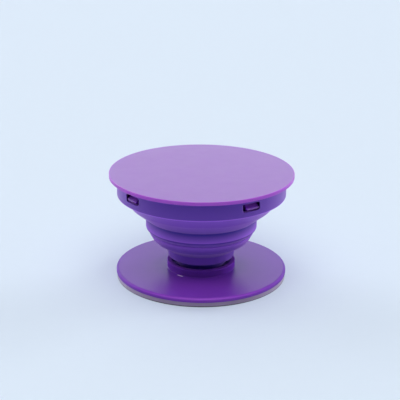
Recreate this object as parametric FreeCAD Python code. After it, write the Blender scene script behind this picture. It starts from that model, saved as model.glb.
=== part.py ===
import FreeCAD, Part
import math
import os

Vector = FreeCAD.Vector

# Collapsible phone grip that doubles as a stand, drawn out to its full height.
# Millimetres, +Z up, origin under the middle of the foot, front towards -Y.

# Driving sizes: the adhesive foot
liner_thickness = 0.15
pad_thickness = 0.85
pad_inset = 0.15                # the pad and its liner stand in from the edge of the base

# Driving sizes: the base disc and its collar
base_margin = 0.32              # beyond the accordion's ring, which lands on the base when pressed flat
base_thickness = 1.0
base_top_rounding = 0.6
collar_height = 1.5
collar_radius = 7.45
collar_bore_radius = 6.4        # inside, at the lip that holds the accordion's foot
collar_undercut = 0.45          # depth of the groove below that lip
collar_rim_rounding = 0.15

# Driving sizes: the accordion, from the foot up; its rings stand upright, its bowls narrow downwards
wall = 0.8
swivel_clearance = 0.12         # round the foot, so that the accordion turns in the collar
foot_thickness = 0.55
neck_tube_radius = 5.4
neck_gap = 1.1                  # open gap between the collar's rim and the neck ring
neck_ring_radius = 7.37         # at its top
neck_ring_taper = 0.2           # narrower by this at its bottom
neck_ring_height = 1.9
lower_knee_rise = 2.0           # from the neck ring up to the knee, where the lower bowl turns steeper
lower_side_rise = 1.75          # from the knee up to the edge of the lower bowl
lower_side_taper = 0.95         # the knee stands in from that edge
lower_ledge = 0.7               # the edge of the lower bowl stands in from the middle ring
crease_depth = 0.15             # how far the crease cuts in behind the edge of the lower bowl
crease_shoulder = 0.25          # height from that edge up to the crease
crease_rise = 0.8               # height from the crease up to the middle ring
middle_ring_radius = 12.1
middle_ring_height = 2.45
upper_knee_rise = 2.7           # from the middle ring up to the knee of the upper bowl
upper_side_rise = 2.35          # from the knee up to the ledge under the ring
upper_side_taper = 1.5
upper_ledge = 1.3               # the upper bowl stands in from the ring
ring_radius = 18.3
ring_height = 4.1

# Driving sizes: roundings of the accordion's outside
ring_bottom_rounding = 0.2
middle_bottom_rounding = 0.7
bowl_rounding = 2.5             # at the knees
neck_bottom_rounding = 0.3

# Driving sizes: the top disc
disc_overhang = 1.7             # beyond the accordion's ring
disc_thickness = 0.75
disc_top_rounding = 0.12        # the lower edge, at the mould's parting line, is sharp

# Driving sizes: the snap hooks under the disc
hook_count = 4
first_hook_azimuth = 36.0       # degrees from the front towards +X
hook_width = 3.2
hook_drop = 2.75                # underside of the nose below the disc
tongue_thickness = 0.9
tongue_clearance = 0.25         # between the tongues and the inside of the accordion's ring
nose_recess = 0.2               # tip of the nose behind the outside of the ring
nose_lead_in = 0.15             # height of the sloped underside of the nose
nose_tip_height = 0.4           # upright face at the tip
nose_catch_rise = 0.65          # height of the slope from the tip back to the tongue
nose_rounding = 0.12

# Driving sizes: the windows in the ring; one mould slide cuts two of them straight along its own way
slide_angle = 45.0              # degrees between a hook and the slide that cuts its window
window_near_clearance = 0.45    # beside the hook, on the side of the slide's middle
window_far_clearance = 0.1      # beside the hook, on the other side
window_top_clearance = 0.5
window_bottom_clearance = 0.1
window_rounding = 0.45

# Heights that follow from the sizes above
pad_bottom = liner_thickness
base_bottom = pad_bottom + pad_thickness
base_top = base_bottom + base_thickness
collar_top = base_top + collar_height
foot_bottom = base_top + swivel_clearance
foot_top = foot_bottom + foot_thickness
lip_bottom = foot_top + swivel_clearance
neck_bottom = collar_top + neck_gap
neck_top = neck_bottom + neck_ring_height
lower_knee = neck_top + lower_knee_rise
lower_edge = lower_knee + lower_side_rise
crease_level = lower_edge + crease_shoulder
middle_bottom = crease_level + crease_rise
middle_top = middle_bottom + middle_ring_height
upper_knee = middle_top + upper_knee_rise
ring_bottom = upper_knee + upper_side_rise
disc_bottom = ring_bottom + ring_height
disc_top = disc_bottom + disc_thickness
nose_bottom = disc_bottom - hook_drop
nose_tip_bottom = nose_bottom + nose_lead_in
nose_tip_top = nose_tip_bottom + nose_tip_height
nose_top = nose_tip_top + nose_catch_rise
window_bottom = nose_bottom - window_bottom_clearance
window_top = nose_top + window_top_clearance

# Radii that follow from the sizes above
base_radius = ring_radius + base_margin
pad_radius = base_radius - pad_inset
disc_radius = ring_radius + disc_overhang
groove_radius = collar_bore_radius + collar_undercut
foot_radius = groove_radius - swivel_clearance
lower_bowl_radius = middle_ring_radius - lower_ledge
lower_knee_radius = lower_bowl_radius - lower_side_taper
crease_radius = lower_bowl_radius - crease_depth
upper_bowl_radius = ring_radius - upper_ledge
upper_knee_radius = upper_bowl_radius - upper_side_taper
ring_inner_radius = ring_radius - wall
tongue_radius = ring_inner_radius - tongue_clearance
tongue_inner_radius = tongue_radius - tongue_thickness
nose_radius = ring_radius - nose_recess
hook_angle = math.degrees(hook_width / nose_radius)

# How a rounding is drawn: as one flat, or as two where one would lie further than this from the arc
FLAT_ERROR = 0.1
LARGEST_SHARE = 0.48            # a rounding takes less than half of either edge beside it

FULL_TURN = 360.0
CENTRE = Vector(0, 0, 0)
UP = Vector(0, 0, 1)


def eased_outline(corners):
    """Closed wire in the XZ plane through (x, z, rounding) corners, with flats along each rounding."""
    points = [Vector(x, 0, z) for x, z, _ in corners]
    outline = []
    for index, (_, _, rounding) in enumerate(corners):
        here = points[index]
        if rounding == 0:
            outline.append(here)
            continue
        back = points[index - 1] - here
        ahead = points[(index + 1) % len(points)] - here
        half_angle = back.getAngle(ahead) / 2
        longest_reach = LARGEST_SHARE * min(back.Length, ahead.Length)
        reach = min(rounding / math.tan(half_angle), longest_reach)
        back.normalize()
        ahead.normalize()
        outline.append(here + back * reach)
        radius = reach * math.tan(half_angle)
        if radius * (1 - math.sin(half_angle)) > FLAT_ERROR:
            inward = (back + ahead).normalize()
            outline.append(here + inward * (radius / math.sin(half_angle) - radius))
        outline.append(here + ahead * reach)
    return Part.makePolygon(outline + outline[:1])


def turned(corners, angle=FULL_TURN):
    """Solid turned about +Z from a section of (radius, height, rounding) corners."""
    return Part.Face(eased_outline(corners)).revolve(CENTRE, UP, angle)


def inner_line(outside, thickness):
    """Corners of the inside of a wall whose outside runs down through the given corners."""
    points = [Vector(radius, 0, height) for radius, height, _ in outside]
    directions = [(after - before).normalize() for before, after in zip(points, points[1:])]
    inside = []
    for index, point in enumerate(points):
        before = directions[max(index - 1, 0)]
        after = directions[min(index, len(directions) - 1)]
        normal = Vector(after.z, 0, -after.x)
        mitre = (normal + Vector(before.z, 0, -before.x)).normalize()
        moved = point + mitre * (thickness / mitre.dot(normal))
        inside.append((moved.x, moved.z, 0))
    return inside


def release_liner():
    return Part.makeCylinder(pad_radius, liner_thickness)


def adhesive_pad():
    return Part.makeCylinder(pad_radius, pad_thickness, Vector(0, 0, pad_bottom))


def base_disc():
    """Disc with a soft upper edge and a low collar whose lip traps the accordion's foot."""
    return turned([
        (0, base_bottom, 0),
        (base_radius, base_bottom, 0),
        (base_radius, base_top, base_top_rounding),
        (collar_radius, base_top, 0),
        (collar_radius, collar_top, collar_rim_rounding),
        (collar_bore_radius, collar_top, 0),
        (collar_bore_radius, lip_bottom, 0),
        (groove_radius, lip_bottom, 0),
        (groove_radius, base_top, 0),
        (0, base_top, 0),
    ])


def accordion():
    """Rings and bowls of one wall thickness, open at both ends, with a window over each hook."""
    above_crease = [
        (ring_radius, disc_bottom, 0),
        (ring_radius, ring_bottom, ring_bottom_rounding),
        (upper_bowl_radius, ring_bottom, 0),
        (upper_knee_radius, upper_knee, bowl_rounding),
        (middle_ring_radius, middle_top, 0),
        (middle_ring_radius, middle_bottom, middle_bottom_rounding),
    ]
    crease = [
        (crease_radius, crease_level, 0),
        (lower_bowl_radius, lower_edge, 0),
    ]
    below_crease = [
        (lower_knee_radius, lower_knee, bowl_rounding),
        (neck_ring_radius, neck_top, 0),
        (neck_ring_radius - neck_ring_taper, neck_bottom, neck_bottom_rounding),
        (neck_tube_radius, neck_bottom, 0),
    ]
    foot = [
        (neck_tube_radius, foot_top, 0),
        (foot_radius, foot_top, 0),
        (foot_radius, foot_bottom, 0),
    ]
    tube_end = [(neck_tube_radius, foot_bottom, 0)]
    smooth_step = [(lower_bowl_radius, crease_level, 0)]
    inside = inner_line(above_crease + smooth_step + below_crease + tube_end, wall)
    bellows = turned(above_crease + crease + below_crease + foot + inside[::-1])
    return bellows.cut([window(azimuth, side) for azimuth, side in hook_places()])


def hook_places():
    """Azimuth of each hook, and on which side of its slide it lies: a slide serves two neighbours."""
    pitch = FULL_TURN / hook_count
    return [(first_hook_azimuth + index * pitch, 1 - index % 2 * 2) for index in range(hook_count)]


def window(azimuth, side):
    """Cutter for one rounded window through the accordion's ring, straight along its slide."""
    near_angle = math.radians(slide_angle - hook_angle / 2)
    far_angle = math.radians(slide_angle + hook_angle / 2)
    near = ring_inner_radius * math.sin(near_angle) - window_near_clearance
    far = nose_radius * math.sin(far_angle) + window_far_clearance
    width = far - near
    height = window_top - window_bottom
    outer_end = ring_radius + wall
    inner_end = math.sqrt(ring_inner_radius ** 2 - far ** 2) - wall
    corner = Vector(near if side > 0 else -far, -outer_end, window_bottom)
    block = Part.makeBox(width, outer_end - inner_end, height, corner)
    edges_along = [edge for edge in block.Edges if abs(edge.tangentAt(0).y) > 0.5]
    rounding = min(window_rounding, LARGEST_SHARE * min(width, height))
    cutter = block.makeFillet(rounding, edges_along)
    cutter.rotate(CENTRE, UP, azimuth - side * slide_angle)
    return cutter


def snap_hook(azimuth):
    """Tongue that hangs from the top disc, with a nose that reaches into the ring's window."""
    root = disc_bottom + disc_thickness / 2
    hook = turned([
        (tongue_inner_radius, root, 0),
        (tongue_inner_radius, nose_bottom, 0),
        (tongue_radius, nose_bottom, 0),
        (nose_radius, nose_tip_bottom, nose_rounding),
        (nose_radius, nose_tip_top, nose_rounding),
        (tongue_radius, nose_top, 0),
        (tongue_radius, root, 0),
    ], hook_angle)
    front = -FULL_TURN / 4
    hook.rotate(CENTRE, UP, front + azimuth - hook_angle / 2)
    return hook


def top_disc():
    """Thumb disc with an eased upper edge, and the snap hooks that hang from it inside the ring."""
    disc = turned([
        (0, disc_bottom, 0),
        (disc_radius, disc_bottom, 0),
        (disc_radius, disc_top, disc_top_rounding),
        (0, disc_top, 0),
    ])
    hooks = [snap_hook(azimuth) for azimuth, _ in hook_places()]
    return disc.fuse(hooks).removeSplitter()


pieces = {
    "release_liner": release_liner,
    "adhesive_pad": adhesive_pad,
    "base_disc": base_disc,
    "accordion": accordion,
    "top_disc": top_disc,
}

os.makedirs("parts", exist_ok=True)
for name, make in pieces.items():
    shape = make()
    shape.exportStep("parts/" + name + ".step")
    print(name, len(shape.Solids), shape.isValid(), round(shape.Volume, 2))
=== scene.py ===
import math
import bmesh
import bpy
from mathutils import Matrix, Vector, noise


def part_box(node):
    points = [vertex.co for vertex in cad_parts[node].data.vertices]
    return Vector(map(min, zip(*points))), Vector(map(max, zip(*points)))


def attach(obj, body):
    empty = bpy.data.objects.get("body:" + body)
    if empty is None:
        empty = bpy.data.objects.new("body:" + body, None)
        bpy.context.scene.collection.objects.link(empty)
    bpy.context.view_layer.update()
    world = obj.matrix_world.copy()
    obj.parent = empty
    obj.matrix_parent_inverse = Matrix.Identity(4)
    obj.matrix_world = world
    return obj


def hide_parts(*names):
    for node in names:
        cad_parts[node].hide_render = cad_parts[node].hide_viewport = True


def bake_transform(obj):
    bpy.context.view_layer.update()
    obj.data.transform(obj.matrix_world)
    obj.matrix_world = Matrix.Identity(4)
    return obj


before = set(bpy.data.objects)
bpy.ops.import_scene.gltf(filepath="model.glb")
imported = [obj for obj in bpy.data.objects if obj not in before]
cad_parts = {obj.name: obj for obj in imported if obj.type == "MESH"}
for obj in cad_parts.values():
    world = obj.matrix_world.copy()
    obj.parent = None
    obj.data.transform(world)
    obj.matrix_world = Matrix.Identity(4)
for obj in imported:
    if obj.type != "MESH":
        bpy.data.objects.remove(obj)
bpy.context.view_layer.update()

# Collapsible phone grip, drawn out. Sizes below are in millimetres, and meshes are made in metres.
MM = 0.001


def radius_of(node):
    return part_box(node)[1].x / MM


def bottom_of(node):
    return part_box(node)[0].z / MM


def top_of(node):
    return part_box(node)[1].z / MM


# Sizes read from the frame
disc_radius = radius_of("top_disc")
disc_top = top_of("top_disc")
nose_bottom = bottom_of("top_disc")
ring_radius = radius_of("accordion")
ring_top = top_of("accordion")
foot_bottom = bottom_of("accordion")
base_radius = radius_of("base_disc")
base_bottom = bottom_of("base_disc")
collar_top = top_of("base_disc")
pad_radius = radius_of("adhesive_pad")
pad_bottom = bottom_of("adhesive_pad")
pad_top = top_of("adhesive_pad")
liner_radius = radius_of("release_liner")
liner_bottom = bottom_of("release_liner")
liner_top = top_of("release_liner")

# Thumb disc
disc_lower_rounding = 0.05
disc_upper_rounding = 0.12
disc_rim_width = 0.13

# Base disc and collar
base_top = base_bottom + 1.0
base_top_rounding = 0.6
base_bottom_rounding = 0.12
collar_radius = 7.45
collar_bore = 6.4
groove_radius = 6.85
collar_rounding = 0.15
collar_foot_rounding = 0.1
lip_rounding = 0.06
groove_rounding = 0.1
plate_row = collar_radius + 3.5      # an extra row of the mesh in the plate's flat
base_rim_width = 0.5

# Accordion, from the foot up: its rings stand upright, its bowls narrow downwards
wall = 0.8
foot_radius = 6.73
foot_top = foot_bottom + 0.55
lip_bottom = foot_top + 0.12
tube_radius = 5.4
neck_radius = 7.37
neck_bottom_radius = neck_radius - 0.2
neck_bottom = collar_top + 1.1
neck_top = neck_bottom + 1.9
lower_knee = neck_top + 2.0
lower_edge = lower_knee + 1.75
crease_level = lower_edge + 0.25
middle_radius = 12.1
middle_bottom = crease_level + 0.8
middle_top = middle_bottom + 2.45
lower_bowl_radius = middle_radius - 0.7
lower_knee_radius = lower_bowl_radius - 0.95
crease_radius = lower_bowl_radius - 0.15
upper_knee = middle_top + 2.7
ring_bottom = upper_knee + 2.35
upper_bowl_radius = ring_radius - 1.3
upper_knee_radius = upper_bowl_radius - 1.5
ring_inner_radius = ring_radius - wall
bowl_rounding = 2.5
bowl_edge_rounding = 0.15
ring_top_rounding = 0.12
ring_bottom_rounding = 0.2
middle_top_rounding = 0.25
middle_bottom_rounding = 0.7
crease_rounding = 0.05
neck_rounding = 0.3
tube_rounding = 0.15
tube_foot_rounding = 0.2
foot_rounding = 0.1

# Foam pad and film
pad_rounding = 0.08
pad_unevenness = 0.05
pad_unevenness_length = 0.9
pad_edge_width = 0.5
liner_rounding = 0.03
liner_edge_width = 0.05

# Hooks under the disc
hook_count = 4
first_hook_azimuth = 36
hook_width = 3.2
hook_side_rounding = 0.14
nose_tip_bottom = nose_bottom + 0.15
nose_tip_top = nose_tip_bottom + 0.4
nose_top = nose_tip_top + 0.65
nose_radius = ring_radius - 0.2
tongue_radius = ring_inner_radius - 0.25
tongue_inner_radius = tongue_radius - 0.9
half_hook = math.degrees(hook_width / nose_radius) / 2

# Windows in the ring: one mould slide cuts two of them, straight along its own way
slide_angle = 45
window_near = ring_inner_radius * math.sin(math.radians(slide_angle - half_hook)) - 0.45
window_far = nose_radius * math.sin(math.radians(slide_angle + half_hook)) + 0.1
window_half_width = (window_far - window_near) / 2
window_bottom = nose_bottom - 0.1
window_top = nose_top + 0.5
window_rounding = 0.45
window_edge_rounding = 0.1

# Floor and backdrop: their colour, and how far the camera sees the floor's shadow softened
PALE = (0.71, 0.81, 0.93, 1)
PALE_FIBRE = (0.705, 0.805, 0.925, 1)
SHADOW_SOFTENING = 0.2

# Mesh fineness
COLUMNS = 360                # one column a degree
ARC_STEP = math.radians(11)
LEAST_ARC_STEPS = 3
ROUNDING_SHARE = 0.48        # a rounding takes no more of the sides beside it
SUPPORT = 0.06               # a rounding ends this far into the flat beside it
SHARP = math.radians(38)
HOOK_SHARP = math.radians(15)
HOOK_STATIONS = 8            # an even count keeps them off the disc's columns
HOOK_SEGMENTS = 4
WELD = 1e-8
SAME_POINT = 1e-6
HALVINGS = 40
WINDOW_EDGE_TURNS = (0, 22.5, 45, 67.5, 90)
PATCH_HALF_COLUMNS = 11      # the ring's mesh round a window
BAND_MARGIN = 0.35
BAND_ROWS = 10

# How far a paler colour shows, from 0 to 1: (radius, height, half width, tone) of painted
# highlights along the accordion's rounded edges
PAINTED_EDGE_HIGHLIGHTS = (
    (ring_radius, ring_bottom, 0.22, 0.95),
    (middle_radius - 0.03, middle_bottom + 0.5, 0.22, 0.75),
    (lower_bowl_radius, lower_edge, 0.2, 0.55),
)
# Levels of the paler colour. RING_TONE and PLATE_TONE are the parts' own colour; the other levels
# paint light and shade onto zones of the accordion, the collar and the base's rim, some of them by
# how far a place faces front or back.
RING_TONE = 0.24
UPPER_BOWL_TONE, UPPER_BOWL_RISE = 0.15, 0.48
CREASE_TONE = 0.2
LOWER_BOWL_TONE, LOWER_BOWL_RISE = 0.06, 0.24
NECK_TONE, NECK_FRONT_TONE = 0.12, 0.26
COLLAR_RIM_TONE = 0.15
COLLAR_FOOT_TONE = 0.06
PLATE_TONE = 0.22
RIM_TONE, RIM_FRONT_TONE, RIM_PAINTED_HIGHLIGHT = 0.15, 0.15, 0.7
RIM_HIGHLIGHT_DEPTH, RIM_HIGHLIGHT_WIDTH = 0.24, 0.18
TONE_EDGE = 0.2              # width of the bands at collar and neck
HAIR = 0.01

# Share of a material's own gloss that is left
NECK_GLOSS = 0.1
MIDDLE_GLOSS = 0.7
NECK_GLOSS_MARGIN = 0.4
RIM_GLOSS, RIM_FRONT_GLOSS = 0.72, 0.28

# Moulded plastic: sizes in millimetres
CLOUD_SIZE = 6.0
RUBBED_SIZE = 2.5
GRAIN_STRENGTH = 0.35
GLOW_REACH = 1.2
NOISE_LOW, NOISE_HIGH = 0.3, 0.7

# Sockets of a Mix node that mixes colours
MIX_SHARE, MIX_FIRST, MIX_SECOND, MIX_RESULT = 0, 6, 7, 2

# Lamps at or below this elevation, in degrees, aren't mirrored, because they would glare
LOW_LAMP = 10


def rounded(corners):
    """Points along a line of (radius, height, rounding) corners, roundings drawn as fine arcs."""
    points = [Vector((radius, height)) for radius, height, _ in corners]
    line = []
    for index, (_, _, rounding) in enumerate(corners):
        here = points[index]
        if rounding == 0:
            line.append(here)
            continue
        back = points[index - 1] - here
        ahead = points[(index + 1) % len(points)] - here
        half_angle = back.angle(ahead) / 2
        longest = min(ROUNDING_SHARE * back.length, ROUNDING_SHARE * ahead.length)
        reach = min(rounding / math.tan(half_angle), longest)
        radius = reach * math.tan(half_angle)
        before = reach + min(SUPPORT, (back.length / 2 - reach) / 2)
        after = reach + min(SUPPORT, (ahead.length / 2 - reach) / 2)
        back.normalize()
        ahead.normalize()
        centre = here + (back + ahead).normalized() * (radius / math.sin(half_angle))
        start = here + back * reach - centre
        end = here + ahead * reach - centre
        turn = start.angle_signed(end)
        steps = max(LEAST_ARC_STEPS, math.ceil(abs(turn) / ARC_STEP))
        line.append(here + back * before)
        for step in range(steps + 1):
            arm = start.copy()
            arm.rotate(Matrix.Rotation(-turn * step / steps, 2))
            line.append(centre + arm)
        line.append(here + ahead * after)
    return line


def at(radius, height, degrees):
    """Point in metres at a turn counted from the front, -Y, towards +X."""
    angle = math.radians(degrees)
    return Vector((radius * math.sin(angle), -radius * math.cos(angle), height)) * MM


def finish_mesh(bm, name):
    """Object from a bmesh, smooth apart from its sharp edges."""
    bmesh.ops.remove_doubles(bm, verts=bm.verts, dist=WELD)
    bmesh.ops.recalc_face_normals(bm, faces=bm.faces)
    mesh = bpy.data.meshes.new(name)
    bm.to_mesh(mesh)
    bm.free()
    mesh.shade_smooth()
    mesh.set_sharp_from_angle(angle=SHARP)
    piece = bpy.data.objects.new(name, mesh)
    bpy.context.scene.collection.objects.link(piece)
    return piece


def lathe_rings(bm, line):
    """One ring of vertices for each point of the line, or a single vertex on the axis."""
    rings = []
    for radius, height in line:
        if radius == 0:
            rings.append([bm.verts.new(at(0, height, 0))] * COLUMNS)
        else:
            rings.append([bm.verts.new(at(radius, height, column)) for column in range(COLUMNS)])
    return rings


def lathe_faces(bm, rings, closed=False, skip=()):
    """Quads between neighbouring rings; skip holds (row, column) places that stay open."""
    rows = len(rings) if closed else len(rings) - 1
    for row in range(rows):
        lower, upper = rings[row], rings[(row + 1) % len(rings)]
        for column in range(COLUMNS):
            if (row, column) in skip:
                continue
            beside = (column + 1) % COLUMNS
            corners = [lower[column], lower[beside], upper[beside], upper[column]]
            bm.faces.new(list(dict.fromkeys(corners)))


def lathed(name, corners):
    """Solid of revolution whose line starts and ends on the axis."""
    bm = bmesh.new()
    lathe_faces(bm, lathe_rings(bm, rounded(corners)))
    return finish_mesh(bm, name)


def hook_places():
    """Azimuth of each hook, and its side, 1 or -1, of the slide that serves it and a neighbour."""
    pitch = 360 // hook_count
    sides = [1 - index % 2 * 2 for index in range(hook_count)]
    return [(first_hook_azimuth + index * pitch, side) for index, side in enumerate(sides)]


def snap_hook(azimuth):
    """Tongue with a nose, its edges rounded, hanging from inside the disc."""
    root = (ring_top + disc_top) / 2
    section = [
        (tongue_inner_radius, root),
        (tongue_inner_radius, nose_bottom),
        (tongue_radius, nose_bottom),
        (nose_radius, nose_tip_bottom),
        (nose_radius, nose_tip_top),
        (tongue_radius, nose_top),
        (tongue_radius, root),
    ]
    bm = bmesh.new()
    rings = []
    for station in range(HOOK_STATIONS):
        turn = azimuth + half_hook * (2 * station / (HOOK_STATIONS - 1) - 1)
        rings.append([bm.verts.new(at(radius, height, turn)) for radius, height in section])
    for before, after in zip(rings, rings[1:]):
        for corner in range(len(section)):
            beside = (corner + 1) % len(section)
            bm.faces.new([before[corner], before[beside], after[beside], after[corner]])
    bm.faces.new(rings[0])
    bm.faces.new(rings[-1])
    bmesh.ops.recalc_face_normals(bm, faces=bm.faces)
    sharp = [edge for edge in bm.edges if edge.calc_face_angle() > HOOK_SHARP]
    bmesh.ops.bevel(
        bm, geom=sharp, offset=hook_side_rounding * MM, segments=HOOK_SEGMENTS, profile=0.5,
        affect="EDGES",
    )
    return finish_mesh(bm, "hook")


def joined(piece, others):
    """The piece's mesh united with the others, which are then removed."""
    for other in others:
        union = piece.modifiers.new("union", "BOOLEAN")
        union.operation = "UNION"
        union.solver = "EXACT"
        union.object = other
    graph = bpy.context.evaluated_depsgraph_get()
    mesh = bpy.data.meshes.new_from_object(piece.evaluated_get(graph))
    piece.modifiers.clear()
    piece.data = mesh
    mesh.shade_smooth()
    mesh.set_sharp_from_angle(angle=SHARP)
    for other in others:
        bpy.data.objects.remove(other)
    return piece


def make_top_disc():
    disc = lathed("thumb_disc", [
        (0, ring_top, 0),
        (disc_radius, ring_top, disc_lower_rounding),
        (disc_radius, disc_top, disc_upper_rounding),
        (0, disc_top, 0),
    ])
    return joined(disc, [snap_hook(azimuth) for azimuth, _ in hook_places()])


def make_base_disc():
    return lathed("base_plate", [
        (0, base_bottom, 0),
        (base_radius, base_bottom, base_bottom_rounding),
        (base_radius, base_top, base_top_rounding),
        (plate_row, base_top, 0),
        (collar_radius, base_top, collar_foot_rounding),
        (collar_radius, collar_top, collar_rounding),
        (collar_bore, collar_top, collar_rounding),
        (collar_bore, lip_bottom, lip_rounding),
        (groove_radius, lip_bottom, 0),
        (groove_radius, base_top, groove_rounding),
        (0, base_top, 0),
    ])


def inner_line(outside, thickness):
    """Corners of the inside of a wall whose outside runs down through the given corners."""
    points = [Vector((radius, height)) for radius, height, _ in outside]
    directions = [(after - before).normalized() for before, after in zip(points, points[1:])]
    inside = []
    for index, point in enumerate(points):
        before = directions[max(index - 1, 0)]
        after = directions[min(index, len(directions) - 1)]
        normal = Vector((after.y, -after.x))
        mitre = (normal + Vector((before.y, -before.x))).normalized()
        moved = point + mitre * (thickness / mitre.dot(normal))
        inside.append((moved.x, moved.y, 0))
    return inside


def band_heights():
    """Heights of the mesh rows round the windows, from the top down."""
    high = window_top + BAND_MARGIN
    low = window_bottom - BAND_MARGIN
    return [high + (low - high) * row / BAND_ROWS for row in range(BAND_ROWS + 1)]


def window_reach(across, up, grow):
    """How far the window's rounded outline lies from its middle, along a unit direction."""
    half_width = window_half_width + grow
    half_height = (window_top - window_bottom) / 2 + grow
    rounding = window_rounding + grow
    near, far = 0.0, half_width + half_height
    for _ in range(HALVINGS):
        reach = (near + far) / 2
        over = Vector((
            max(abs(across) * reach - (half_width - rounding), 0),
            max(abs(up) * reach - (half_height - rounding), 0),
        ))
        if over.length > rounding:
            far = reach
        else:
            near = reach
    return near


def window_rim(loop, azimuth, side, grow, radius):
    """Points of the window's outline at a radius, one for each (degrees, height) of the loop."""
    slide = azimuth - side * slide_angle
    middle_across = (window_near + window_far) / 2
    middle = (window_top + window_bottom) / 2
    rim = []
    for degrees, height in loop:
        across = ring_radius * math.sin(math.radians(degrees - slide) * side) - middle_across
        up = height - middle
        length = math.hypot(across, up)
        reach = window_reach(across / length, up / length, grow) / length
        turn = math.degrees(math.asin((middle_across + across * reach) / radius))
        rim.append(at(radius, middle + up * reach, slide + side * turn))
    return rim


def cut_window(bm, rings, outer_row, inner_row, azimuth, side):
    """Closes the ring's open patch with a rounded window through the wall."""
    left = azimuth - PATCH_HALF_COLUMNS
    right = azimuth + PATCH_HALF_COLUMNS
    steps = [(column, 0) for column in range(left, right)]
    steps += [(right, row) for row in range(BAND_ROWS)]
    steps += [(column, BAND_ROWS) for column in range(right, left, -1)]
    steps += [(left, row) for row in range(BAND_ROWS, 0, -1)]
    heights = band_heights()
    loop = [(column, heights[row]) for column, row in steps]
    outer = [rings[outer_row + row][column % COLUMNS] for column, row in steps]
    inner = [rings[inner_row + BAND_ROWS - row][column % COLUMNS] for column, row in steps]
    levels = [(window_edge_rounding + SUPPORT, ring_radius)]
    for degrees in WINDOW_EDGE_TURNS:
        turn = math.radians(degrees)
        grow = window_edge_rounding * (1 - math.sin(turn))
        levels.append((grow, ring_radius - window_edge_rounding * (1 - math.cos(turn))))
    levels.append((0, ring_inner_radius))
    rims = [window_rim(loop, azimuth, side, grow, radius) for grow, radius in levels]
    chain = [outer] + [[bm.verts.new(point) for point in rim] for rim in rims] + [inner]
    for before, after in zip(chain, chain[1:]):
        for index in range(len(loop)):
            beside = (index + 1) % len(loop)
            bm.faces.new([before[index], before[beside], after[beside], after[index]])


def first_row(line, radius, height):
    """Index of the line's point at a radius and a height."""
    place = Vector((radius, height))
    return next(row for row, point in enumerate(line) if (point - place).length < SAME_POINT)


def make_accordion():
    """Bellows of one wall: its outside from the ring's top to the foot, then its inside back up."""
    above_crease = [
        (ring_radius, ring_bottom, ring_bottom_rounding),
        (upper_bowl_radius, ring_bottom, bowl_edge_rounding),
        (upper_knee_radius, upper_knee, bowl_rounding),
        (middle_radius, middle_top, middle_top_rounding),
        (middle_radius, middle_bottom, middle_bottom_rounding),
    ]
    crease = [
        (crease_radius, crease_level, crease_rounding),
        (lower_bowl_radius, lower_edge, bowl_edge_rounding),
    ]
    below_crease = [
        (lower_knee_radius, lower_knee, bowl_rounding),
        (neck_radius, neck_top, neck_rounding),
        (neck_bottom_radius, neck_bottom, neck_rounding),
        (tube_radius, neck_bottom, tube_rounding),
    ]
    foot = [
        (tube_radius, foot_top, tube_foot_rounding),
        (foot_radius, foot_top, foot_rounding),
        (foot_radius, foot_bottom, foot_rounding),
    ]
    ring_edge = [(ring_radius, ring_top, ring_top_rounding)]
    tube_end = [(tube_radius, foot_bottom, 0)]
    smooth_step = [(lower_bowl_radius, crease_level, 0)]
    inside = inner_line(
        ring_edge + above_crease + smooth_step + below_crease + tube_end, wall)[::-1]
    outer_band = [(ring_radius, height, 0) for height in band_heights()]
    inner_band = [(ring_inner_radius, height, 0) for height in band_heights()[::-1]]
    line = rounded(
        ring_edge + outer_band + above_crease + crease + below_crease + foot
        + inside[:-1] + inner_band + inside[-1:]
    )
    outer_row = first_row(line, ring_radius, band_heights()[0])
    inner_row = first_row(line, ring_inner_radius, band_heights()[-1])
    open_places = {
        (first + row, (azimuth + column) % COLUMNS)
        for first in (outer_row, inner_row)
        for row in range(BAND_ROWS)
        for azimuth, _ in hook_places()
        for column in range(-PATCH_HALF_COLUMNS, PATCH_HALF_COLUMNS)
    }
    bm = bmesh.new()
    rings = lathe_rings(bm, line)
    lathe_faces(bm, rings, closed=True, skip=open_places)
    for azimuth, side in hook_places():
        cut_window(bm, rings, outer_row, inner_row, azimuth, side)
    loose = [vertex for vertex in bm.verts if not vertex.link_faces]
    bmesh.ops.delete(bm, geom=loose, context="VERTS")
    return finish_mesh(bm, "accordion_bellows")


def accordion_colour_and_painted_light(radius, height, facing):
    """How pale the elastomer is. The ring has its own colour; painted highlights run along three
    rounded edges, and the other zones carry painted light and shade: paler bowls that darken
    downwards, a dark middle ring, a neck paler at front and back, and dark parts below the neck.
    """
    for edge_radius, edge_height, width, tone in PAINTED_EDGE_HIGHLIGHTS:
        if math.hypot(radius - edge_radius, height - edge_height) < width:
            return tone
    if height > ring_bottom + 0.1:
        return RING_TONE
    if height > middle_top:
        rise = UPPER_BOWL_RISE * (height - middle_top) / (ring_bottom - middle_top)
        return UPPER_BOWL_TONE + rise
    if height > middle_bottom:
        return 0.0
    if height > lower_edge:
        return CREASE_TONE
    if height > neck_top:
        return LOWER_BOWL_TONE + LOWER_BOWL_RISE * (height - neck_top) / (lower_edge - neck_top)
    if height > neck_bottom + TONE_EDGE:
        return NECK_TONE + NECK_FRONT_TONE * facing ** 2
    return 0.0


def accordion_gloss(radius, height, facing):
    """Duller towards the neck, which is handled least."""
    if height < neck_top + NECK_GLOSS_MARGIN:
        return NECK_GLOSS
    if height < middle_top:
        return MIDDLE_GLOSS
    return 1.0


def disc_rim_painted_glow(radius, height, facing):
    """Painted light: the rim is given a brighter colour than the disc."""
    return 1.0 if radius > disc_radius - disc_rim_width else 0.0


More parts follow.
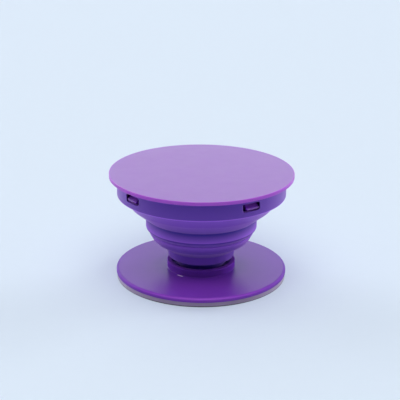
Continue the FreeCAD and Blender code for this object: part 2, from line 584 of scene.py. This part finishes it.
def base_colour_and_painted_light(radius, height, facing):
    """The plate's own colour, with painted light and shade: a painted highlight along the rim's
    upper edge, most at front and back, a paler collar rim at the sides, and painted shade on the
    collar and its foot.
    """
    on_collar = radius < collar_radius + HAIR
    if on_collar and radius > collar_bore - HAIR and height > collar_top - TONE_EDGE:
        return COLLAR_RIM_TONE * (1 - facing ** 2)
    if on_collar:
        return 0.0
    if radius < collar_radius + TONE_EDGE:
        return COLLAR_FOOT_TONE
    if radius < base_radius - base_rim_width:
        return PLATE_TONE
    # painted highlight band just under the rim's top edge, strongest at front and back
    rubbed_gloss_and_painted_highlight = math.exp(-((height - base_top + RIM_HIGHLIGHT_DEPTH) / RIM_HIGHLIGHT_WIDTH) ** 2)
    return RIM_TONE + (RIM_FRONT_TONE + RIM_PAINTED_HIGHLIGHT * rubbed_gloss_and_painted_highlight) * facing ** 2


def base_gloss(radius, height, facing):
    """Dull on the collar, and along the rim's sides."""
    if radius < collar_radius + HAIR:
        return 0.0
    if radius > base_radius - base_rim_width:
        return RIM_GLOSS + RIM_FRONT_GLOSS * facing ** 2
    return 1.0


def film_edge_painted_shadow(radius, height, facing):
    """Painted shadow: the film's cut edge is darkened, most at front and back."""
    return facing ** 2 if radius > liner_radius - liner_edge_width else 0.0


def store(piece, attribute, value_at):
    """Value of each vertex by its radius, its height and how far it faces the front or the back."""
    values = piece.data.attributes.new(attribute, "FLOAT", "POINT")
    for vertex in piece.data.vertices:
        reach = math.hypot(vertex.co.x, vertex.co.y)
        facing = abs(vertex.co.y) / reach if reach else 1.0
        values.data[vertex.index].value = value_at(reach / MM, vertex.co.z / MM, facing)


def make_adhesive_pad():
    """Die-cut foam disc with a slightly uneven edge."""
    pad = lathed("adhesive_foam", [
        (0, pad_bottom, 0),
        (pad_radius, pad_bottom, pad_rounding),
        (pad_radius, pad_top, pad_rounding),
        (0, pad_top, 0),
    ])
    unevenness = pad_unevenness * MM
    grain = 1 / (pad_unevenness_length * MM)
    for vertex in pad.data.vertices:
        flat = Vector((vertex.co.x, vertex.co.y, 0))
        if flat.length > (pad_radius - pad_edge_width) * MM:
            share = 0.5 + 0.5 * noise.noise(vertex.co * grain)
            vertex.co -= flat.normalized() * unevenness * share
    return pad


def make_release_liner():
    return lathed("liner_film", [
        (0, liner_bottom, 0),
        (liner_radius, liner_bottom, liner_rounding),
        (liner_radius, liner_top, liner_rounding),
        (0, liner_top, 0),
    ])


def add(tree, kind, inputs=None, **settings):
    """New node with its settings and inputs, an input being a value or another node's output."""
    made = tree.nodes.new(kind)
    for key, value in settings.items():
        setattr(made, key, value)
    for key, value in (inputs or {}).items():
        if isinstance(value, bpy.types.NodeSocket):
            tree.links.new(value, made.inputs[key])
        else:
            made.inputs[key].default_value = value
    return made


def new_material(name):
    material = bpy.data.materials.new(name)
    material.use_nodes = True
    return material, material.node_tree, shader_of(material)


def noise_at(tree, place, size_mm, detail=2.0):
    """Noise whose features are about the given size."""
    scale = 1 / (size_mm * MM)
    texture = add(tree, "ShaderNodeTexNoise", {"Vector": place, "Scale": scale, "Detail": detail})
    return texture.outputs["Fac"]


def between(tree, value, low, high):
    """The middle of a noise's range spread over low to high."""
    spread = add(tree, "ShaderNodeMapRange", {
        "Value": value, "From Min": NOISE_LOW, "From Max": NOISE_HIGH,
        "To Min": low, "To Max": high,
    })
    return spread.outputs["Result"]


def colour_mix(tree, share, first, second):
    """Output of a colour that is mixed from two by a share."""
    inputs = {MIX_SHARE: share, MIX_FIRST: first, MIX_SECOND: second}
    return add(tree, "ShaderNodeMix", inputs, data_type="RGBA").outputs[MIX_RESULT]


def shader_mix(tree, share, first, second):
    return add(tree, "ShaderNodeMixShader", {0: share, 1: first, 2: second}).outputs[0]


def product(tree, first, second):
    return add(tree, "ShaderNodeMath", {0: first, 1: second}, operation="MULTIPLY").outputs[0]


def shader_of(material):
    return material.node_tree.nodes["Principled BSDF"]


def moulded(
    name, colour, deep_colour, roughness, unevenness, grain_mm, grain_height_mm, specular, glow=0.0
):
    """Moulded plastic: slightly cloudy colour, uneven gloss and a fine grain from the mould.

    glow is the share of light that spreads under the surface, as it does in a translucent plastic.
    """
    material, tree, shader = new_material(name)
    place = add(tree, "ShaderNodeTexCoord").outputs["Object"]
    cloud = between(tree, noise_at(tree, place, CLOUD_SIZE), 0.0, 1.0)
    cloudy = colour_mix(tree, cloud, (*colour, 1), (*deep_colour, 1))
    tree.links.new(cloudy, shader.inputs["Base Color"])
    rubbed_gloss_and_painted_highlight = noise_at(tree, place, RUBBED_SIZE, detail=4.0)
    gloss = between(tree, rubbed_gloss_and_painted_highlight, roughness - unevenness, roughness + unevenness)
    tree.links.new(gloss, shader.inputs["Roughness"])
    grain = noise_at(tree, place, grain_mm, detail=3.0)
    bump = add(tree, "ShaderNodeBump", {
        "Height": grain, "Strength": GRAIN_STRENGTH, "Distance": grain_height_mm * MM,
    })
    tree.links.new(bump.outputs["Normal"], shader.inputs["Normal"])
    shader.inputs["Specular IOR Level"].default_value = specular
    shader.inputs["Subsurface Weight"].default_value = glow
    shader.inputs["Subsurface Radius"].default_value = (1.0, 0.5, 1.0)
    shader.inputs["Subsurface Scale"].default_value = GLOW_REACH * MM
    return material


def mix_in(material, share, colour):
    """Mixes a second colour into a material's own, by a share that another node gives."""
    tree = material.node_tree
    own = shader_of(material).inputs["Base Color"]
    plain = own.links[0].from_socket
    tree.links.new(colour_mix(tree, share, plain, (*colour, 1)), own)


def attribute_share(material, attribute):
    node = add(material.node_tree, "ShaderNodeAttribute", attribute_name=attribute)
    return node.outputs["Fac"]


def tint(material, attribute, colour):
    """Mixes a second colour into a material, by an attribute of the mesh."""
    mix_in(material, attribute_share(material, attribute), colour)


def dull(material, attribute, roughness):
    """Roughens a material as an attribute of the mesh falls from one to nothing."""
    tree = material.node_tree
    own = shader_of(material).inputs["Roughness"]
    share = attribute_share(material, attribute)
    plain = own.links[0].from_socket
    rough = add(tree, "ShaderNodeMapRange", {"Value": share, "To Min": roughness, "To Max": plain})
    tree.links.new(rough.outputs["Result"], own)


def scuff(material, middle, degrees, half_length, half_width, colour):
    """Short pale scuff, its middle and size in millimetres, turned by degrees about the axis."""
    edge_start = 0.75
    patch_size = 0.35
    faintest = 0.6
    tree = material.node_tree
    place = add(tree, "ShaderNodeTexCoord").outputs["Object"]
    local = add(tree, "ShaderNodeMapping", {
        "Vector": place,
        "Location": Vector(middle) * MM,
        "Rotation": (0, 0, math.radians(degrees)),
        "Scale": Vector((half_length, half_width, half_width)) * MM,
    }, vector_type="TEXTURE").outputs["Vector"]
    reach = add(tree, "ShaderNodeVectorMath", {0: local}, operation="LENGTH").outputs["Value"]
    mark = add(tree, "ShaderNodeMapRange", {
        "Value": reach, "From Min": edge_start, "From Max": 1.0, "To Min": 1.0, "To Max": 0.0,
    }).outputs["Result"]
    patchy = between(tree, noise_at(tree, place, patch_size), faintest, 1.0)
    mix_in(material, product(tree, mark, patchy), colour)


def add_sheen(material, weight, roughness, colour):
    """Soft sheen at grazing angles."""
    shader = shader_of(material)
    shader.inputs["Sheen Weight"].default_value = weight
    shader.inputs["Sheen Roughness"].default_value = roughness
    shader.inputs["Sheen Tint"].default_value = (*colour, 1)


def dress(piece, material, node, body):
    """Gives a piece its material, hides the frame's part that it replaces and, if it rides, sets it
    on its body.
    """
    piece.data.materials.clear()
    piece.data.materials.append(material)
    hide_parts(node)
    if body:
        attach(piece, body)


def make_pieces():
    disc_plastic = moulded(
        "disc_plastic", colour=(0.216, 0.044, 0.42), deep_colour=(0.212, 0.043, 0.412),
        roughness=0.38, unevenness=0.015, grain_mm=0.22, grain_height_mm=0.008,
        specular=0.65, glow=0.8,
    )
    # painted glow on the disc's rim
    tint(disc_plastic, "tone", (0.35, 0.05, 0.515))
    elastomer = moulded(
        "accordion_elastomer", colour=(0.016, 0.002, 0.245), deep_colour=(0.015, 0.002, 0.24),
        roughness=0.36, unevenness=0.02, grain_mm=0.3, grain_height_mm=0.008,
        specular=0.22,
    )
    # painted light and shade on the accordion's zones, and painted highlights on its edges
    tint(elastomer, "tone", (0.34, 0.105, 0.73))
    dull(elastomer, "gloss", roughness=1.0)
    add_sheen(elastomer, weight=0.45, roughness=0.6, colour=(0.8, 0.43, 1.0))
    base_plastic = moulded(
        "base_plastic", colour=(0.122, 0.024, 0.345), deep_colour=(0.118, 0.023, 0.335),
        roughness=0.32, unevenness=0.02, grain_mm=0.4, grain_height_mm=0.004,
        specular=0.19, glow=0.2,
    )
    # the plate's own colour, painted highlights on the rim and collar rim, painted shade on the
    # collar and its foot
    tint(base_plastic, "tone", (0.37, 0.08, 0.65))
    dull(base_plastic, "gloss", roughness=1.0)
    scuff(
        base_plastic, middle=(-4.5, -6.5, base_top), degrees=-38,
        half_length=0.95, half_width=0.21, colour=(1.0, 0.8, 1.0),
    )
    foam = moulded(
        "adhesive_foam", colour=(0.34, 0.255, 0.4), deep_colour=(0.3, 0.225, 0.35),
        roughness=0.7, unevenness=0.05, grain_mm=0.15, grain_height_mm=0.03,
        specular=0.3,
    )
    add_sheen(foam, weight=0.6, roughness=0.5, colour=(1.0, 1.0, 1.0))
    film = moulded(
        "liner_film", colour=(0.30, 0.27, 0.38), deep_colour=(0.27, 0.24, 0.34),
        roughness=0.35, unevenness=0.05, grain_mm=0.5, grain_height_mm=0.004,
        specular=0.5,
    )
    # painted shadow along the film's cut edge
    tint(film, "tone", (0.04, 0.035, 0.06))
    disc = make_top_disc()
    store(disc, "tone", disc_rim_painted_glow)
    dress(disc, disc_plastic, "top_disc", "top")
    plate = make_base_disc()
    store(plate, "tone", base_colour_and_painted_light)
    store(plate, "gloss", base_gloss)
    dress(plate, base_plastic, "base_disc", "base")
    dress(make_adhesive_pad(), foam, "adhesive_pad", "base")
    liner = make_release_liner()
    store(liner, "tone", film_edge_painted_shadow)
    dress(liner, film, "release_liner", "base")
    bellows = make_accordion()
    store(bellows, "tone", accordion_colour_and_painted_light)
    store(bellows, "gloss", accordion_gloss)
    dress(bellows, elastomer, "accordion", None)
    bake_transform(bellows)


def make_floor():
    floor_size = 4.0
    below_liner = 0.02 * MM
    fibre_size = 3.0
    bpy.ops.mesh.primitive_plane_add(size=floor_size, location=(0, 0, -below_liner))
    floor = bpy.context.object
    floor.name = "floor"
    material, tree, shader = new_material("floor_paper")
    place = add(tree, "ShaderNodeTexCoord").outputs["Object"]
    fibre = between(tree, noise_at(tree, place, fibre_size), 0.0, 1.0)
    paper = colour_mix(tree, fibre, PALE, PALE_FIBRE)
    tree.links.new(paper, shader.inputs["Base Color"])
    shader.inputs["Roughness"].default_value = 0.9
    shader.inputs["Specular IOR Level"].default_value = 0.1
    seen = add(tree, "ShaderNodeLightPath").outputs["Is Camera Ray"]
    share = product(tree, seen, SHADOW_SOFTENING)
    bright = add(tree, "ShaderNodeEmission", {"Color": PALE, "Strength": 1.0}).outputs[0]
    softened = shader_mix(tree, share, shader.outputs[0], bright)
    tree.links.new(softened, tree.nodes["Material Output"].inputs["Surface"])
    floor.data.materials.append(material)


def make_light():
    """Soft lamps all round, and a pale tent, dark on the front's side, for the gloss to mirror."""
    tent_start, tent_end = -0.7, 0.3
    tent_front = 0.2
    room_level = 0.08
    room_colour = (0.86, 0.91, 0.97, 1)
    world = bpy.data.worlds.new("studio")
    bpy.context.scene.world = world
    world.use_nodes = True
    tree = world.node_tree
    tree.nodes.clear()
    ray = add(tree, "ShaderNodeLightPath").outputs
    direction = add(tree, "ShaderNodeTexCoord").outputs["Generated"]
    depth = add(tree, "ShaderNodeSeparateXYZ", {"Vector": direction}).outputs["Y"]
    tent = add(tree, "ShaderNodeMapRange", {
        "Value": depth, "From Min": tent_start, "From Max": tent_end,
        "To Min": tent_front, "To Max": 1.0,
    }, interpolation_type="SMOOTHSTEP").outputs["Result"]
    level = product(tree, tent, room_level)
    room = add(tree, "ShaderNodeBackground", {"Color": room_colour, "Strength": level})
    mirrored = add(tree, "ShaderNodeBackground", {"Color": PALE, "Strength": tent})
    seen = add(tree, "ShaderNodeBackground", {"Color": PALE, "Strength": 1.0})
    through = add(tree, "ShaderNodeMath", {
        0: ray["Is Glossy Ray"], 1: ray["Is Transmission Ray"],
    }, operation="MAXIMUM").outputs[0]
    light = shader_mix(tree, through, room.outputs[0], mirrored.outputs[0])
    mix = shader_mix(tree, ray["Is Camera Ray"], light, seen.outputs[0])
    add(tree, "ShaderNodeOutputWorld", {"Surface": mix})
    make_lamp("top_lamp", azimuth=0, elevation=90, spread=80, energy=0.92)
    make_lamp("front_lamp", azimuth=0, elevation=60, spread=60, energy=1.12)
    make_lamp("back_lamp", azimuth=180, elevation=25, spread=50, energy=0.52)
    make_lamp("left_back_lamp", azimuth=-135, elevation=20, spread=50, energy=0.8)
    make_lamp("right_back_lamp", azimuth=135, elevation=20, spread=50, energy=0.25)
    make_lamp("left_wall", azimuth=-80, elevation=8, spread=30, energy=0.3)
    make_lamp("right_wall", azimuth=80, elevation=8, spread=30, energy=0.36)
    make_lamp("left_back_wall", azimuth=-120, elevation=8, spread=30, energy=1.24)
    make_lamp("right_back_wall", azimuth=120, elevation=8, spread=30, energy=2.15)


def make_lamp(name, azimuth, elevation, spread, energy):
    """Large soft lamp, far away, at a turn counted from the front towards +X; angles in degrees."""
    lamp = bpy.data.lights.new(name, "SUN")
    lamp.energy = energy
    lamp.angle = math.radians(spread)
    softbox = bpy.data.objects.new(name, lamp)
    rise = math.radians(elevation)
    towards = at(math.cos(rise), math.sin(rise), azimuth)
    softbox.rotation_euler = towards.to_track_quat("Z", "Y").to_euler()
    softbox.visible_glossy = elevation > LOW_LAMP
    bpy.context.scene.collection.objects.link(softbox)


def make_camera():
    """Long lens a little above the object, its frame that of a square picture."""
    picture_pixels = 400
    focal_pixels = 1254.8
    elevation = math.radians(19.51)
    roll = math.radians(0.45)
    distance = 272.6 * MM
    target = Vector((0, 0, 17.0 * MM))
    axis_right_of_middle = 1.5
    target_below_middle = 0.5
    lens = bpy.data.cameras.new("camera")
    lens.sensor_width = 36.0
    lens.lens = lens.sensor_width * focal_pixels / picture_pixels
    lens.shift_x = -axis_right_of_middle / picture_pixels
    lens.shift_y = target_below_middle / picture_pixels
    lens.clip_start = 0.005
    camera = bpy.data.objects.new("camera", lens)
    camera.location = target + distance * Vector((0, -math.cos(elevation), math.sin(elevation)))
    tilt = Matrix.Rotation(math.radians(90) - elevation, 3, "X")
    camera.rotation_euler = (tilt @ Matrix.Rotation(roll, 3, "Z")).to_euler()
    bpy.context.scene.collection.objects.link(camera)
    bpy.context.scene.camera = camera


make_pieces()
make_floor()
make_light()
make_camera()
bpy.context.scene.view_settings.view_transform = "Standard"
